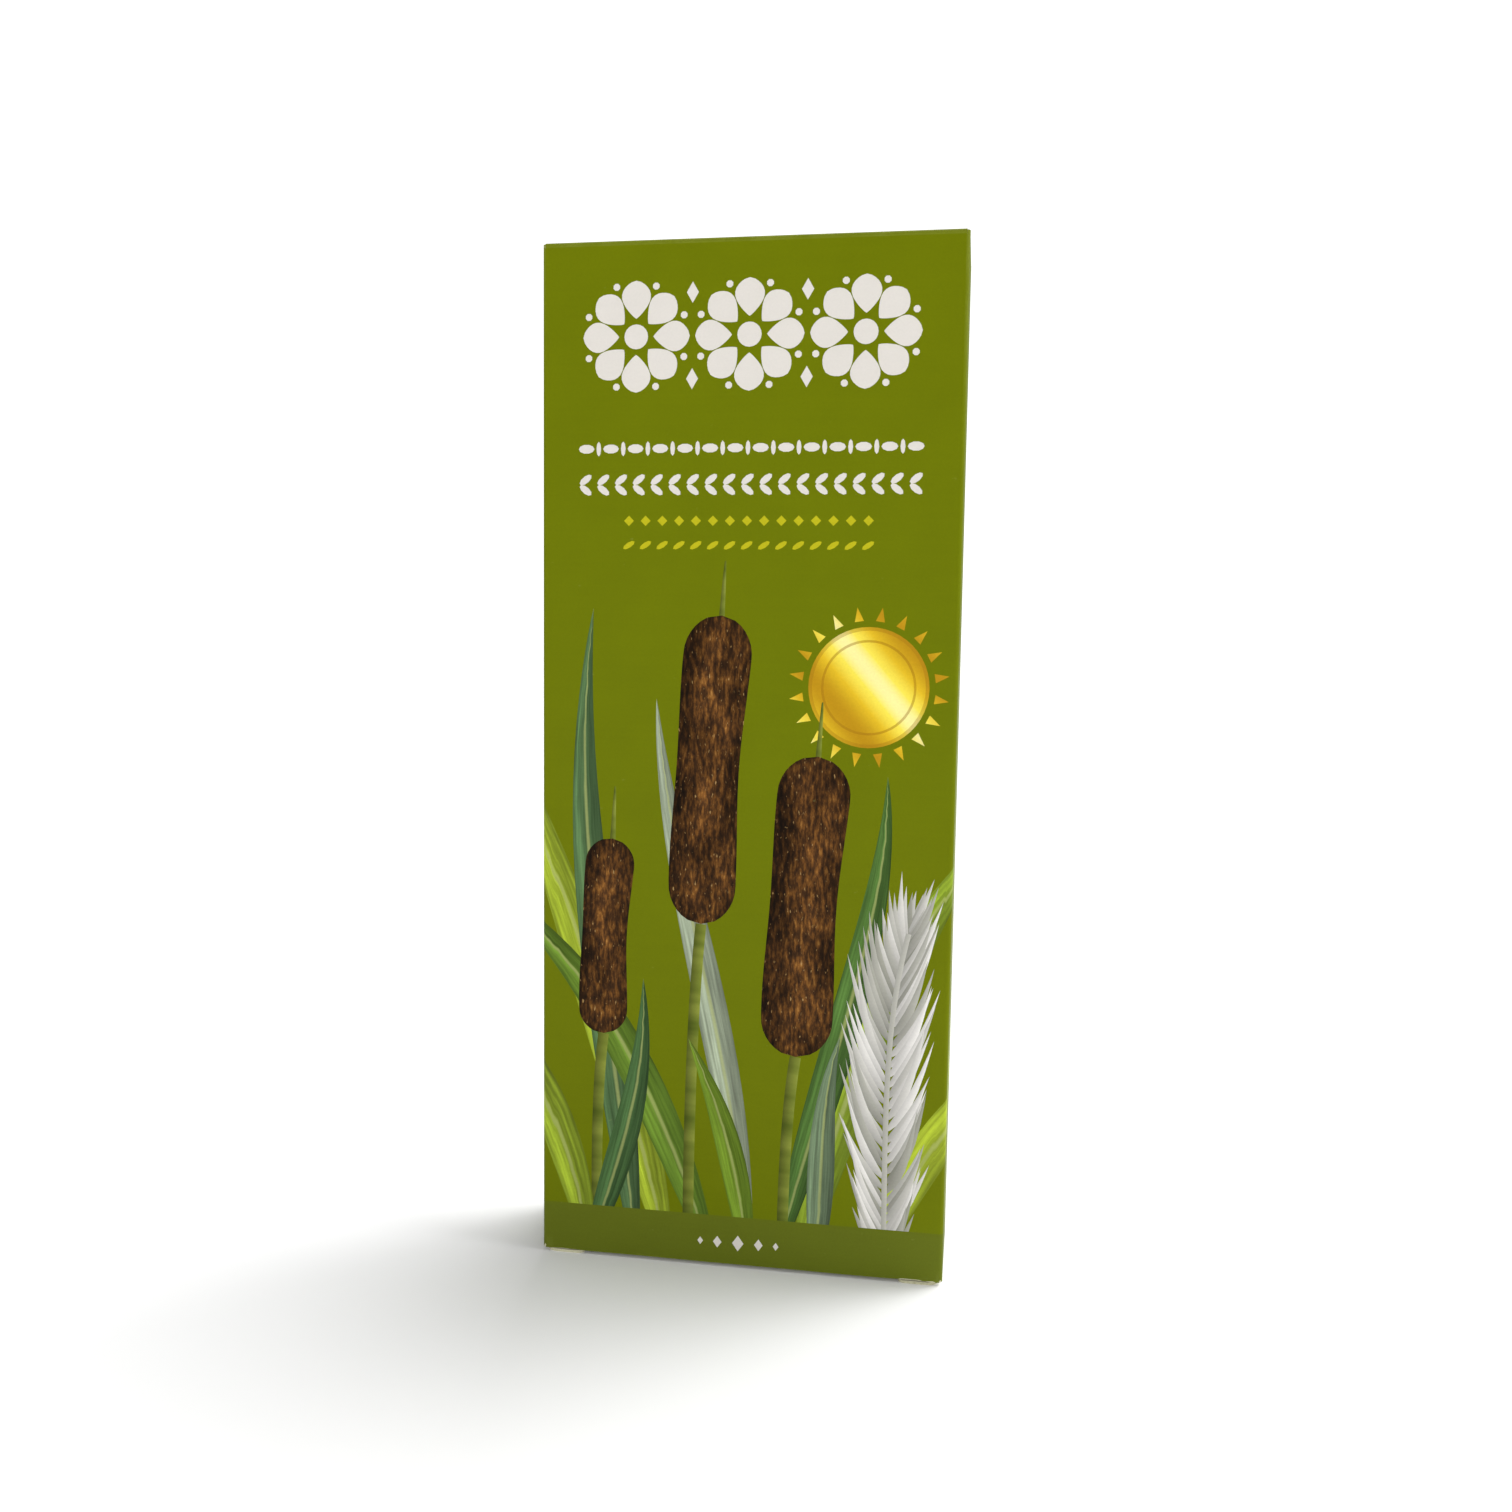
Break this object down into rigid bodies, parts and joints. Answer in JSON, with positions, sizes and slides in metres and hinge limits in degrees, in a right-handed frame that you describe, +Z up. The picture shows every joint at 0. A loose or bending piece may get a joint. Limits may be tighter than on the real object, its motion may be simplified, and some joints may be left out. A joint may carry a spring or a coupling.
{
  "type": "paperboard folding carton",
  "caption": "Tall narrow folding carton of printed board, standing closed, with a hinged lid, tuck flap and dust flaps at each end.",
  "frame": {"origin": "middle of the base, on the surface the carton stands on", "axes": "+Z up along the carton's length, +X to the right across its width, and -Y out of the printed front wall"},
  "size_m": [0.07, 0.02, 0.173],
  "materials": {
    "wall_print": "satin varnished print over white coated board",
    "lid_print": "satin varnished print over white coated board",
    "base_print": "satin varnished print over white coated board",
    "board_inside": "matt unprinted board",
    "board_edge": "raw cut edge"
  },
  "bodies": {
    "carton": {"sleeve": "wall_print"},
    "top_lid": {"top_lid": "lid_print"},
    "top_tuck": {"top_tuck_flap": "lid_print"},
    "top_dust_left": {"top_dust_flap_left": "lid_print"},
    "top_dust_right": {"top_dust_flap_right": "lid_print"},
    "bottom_lid": {"bottom_lid": "base_print"},
    "bottom_tuck": {"bottom_tuck_flap": "base_print"},
    "bottom_dust_left": {"bottom_dust_flap_left": "base_print"},
    "bottom_dust_right": {"bottom_dust_flap_right": "base_print"}
  },
  "joints": [
    {"name": "top_lid_crease", "type": "hinge", "parent": "carton", "child": "top_lid", "pos_m": [0, -0.01, 0.173], "axis": [1, 0, 0], "range_deg": [0, 175]},
    {"name": "top_tuck_crease", "type": "hinge", "parent": "top_lid", "child": "top_tuck", "pos_m": [0, 0.00925, 0.173], "axis": [1, 0, 0], "range_deg": [0, 35]},
    {"name": "top_dust_left_crease", "type": "hinge", "parent": "carton", "child": "top_dust_left", "pos_m": [-0.035, 0, 0.17225], "axis": [0, -1, 0], "range_deg": [0, 105]},
    {"name": "top_dust_right_crease", "type": "hinge", "parent": "carton", "child": "top_dust_right", "pos_m": [0.035, 0, 0.17225], "axis": [0, 1, 0], "range_deg": [0, 105]},
    {"name": "bottom_lid_crease", "type": "hinge", "parent": "carton", "child": "bottom_lid", "pos_m": [0, 0.01, 0], "axis": [1, 0, 0], "range_deg": [0, 175]},
    {"name": "bottom_tuck_crease", "type": "hinge", "parent": "bottom_lid", "child": "bottom_tuck", "pos_m": [0, -0.00925, 0], "axis": [1, 0, 0], "range_deg": [0, 35]},
    {"name": "bottom_dust_left_crease", "type": "hinge", "parent": "carton", "child": "bottom_dust_left", "pos_m": [-0.035, 0, 0.00075], "axis": [0, 1, 0], "range_deg": [0, 105]},
    {"name": "bottom_dust_right_crease", "type": "hinge", "parent": "carton", "child": "bottom_dust_right", "pos_m": [0.035, 0, 0.00075], "axis": [0, -1, 0], "range_deg": [0, 105]}
  ],
  "couplings": [
    {"joint": "top_tuck_crease", "follows": "top_lid_crease", "ratio": 0.2},
    {"joint": "top_dust_left_crease", "follows": "top_lid_crease", "ratio": 0.6},
    {"joint": "top_dust_right_crease", "follows": "top_lid_crease", "ratio": 0.6},
    {"joint": "bottom_tuck_crease", "follows": "bottom_lid_crease", "ratio": 0.2},
    {"joint": "bottom_dust_left_crease", "follows": "bottom_lid_crease", "ratio": 0.6},
    {"joint": "bottom_dust_right_crease", "follows": "bottom_lid_crease", "ratio": 0.6}
  ]
}
